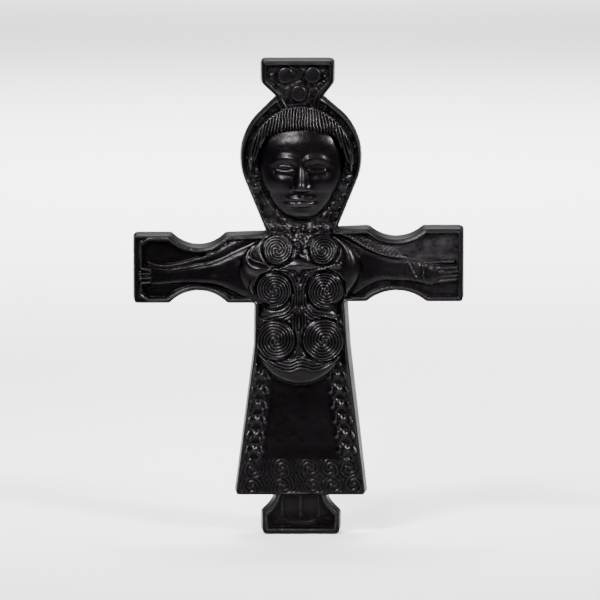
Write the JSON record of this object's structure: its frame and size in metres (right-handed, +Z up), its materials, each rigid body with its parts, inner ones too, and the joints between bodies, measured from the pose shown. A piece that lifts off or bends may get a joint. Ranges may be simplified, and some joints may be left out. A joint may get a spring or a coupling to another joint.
{
  "type": "carved celtic wall cross",
  "caption": "Black moulded wall cross with a robed figure in relief: bosses over the head, scooped arms, a chest of spirals, a flared robe with plaited borders and a small foot, on a flat back.",
  "frame": {"origin": "on the flat back, behind the crossing of the arms", "axes": "+Z up to the top of the cross, +Y out of the flat back into the wall, so the carving faces -Y; +X to the right of someone looking at the carving"},
  "size_m": [0.2081, 0.027, 0.2995],
  "materials": {
    "black_composition": "satin black, moulded, slightly grained, polished on the high points"
  },
  "bodies": {
    "root": {"carved_cross": "black_composition"}
  },
  "joints": []
}
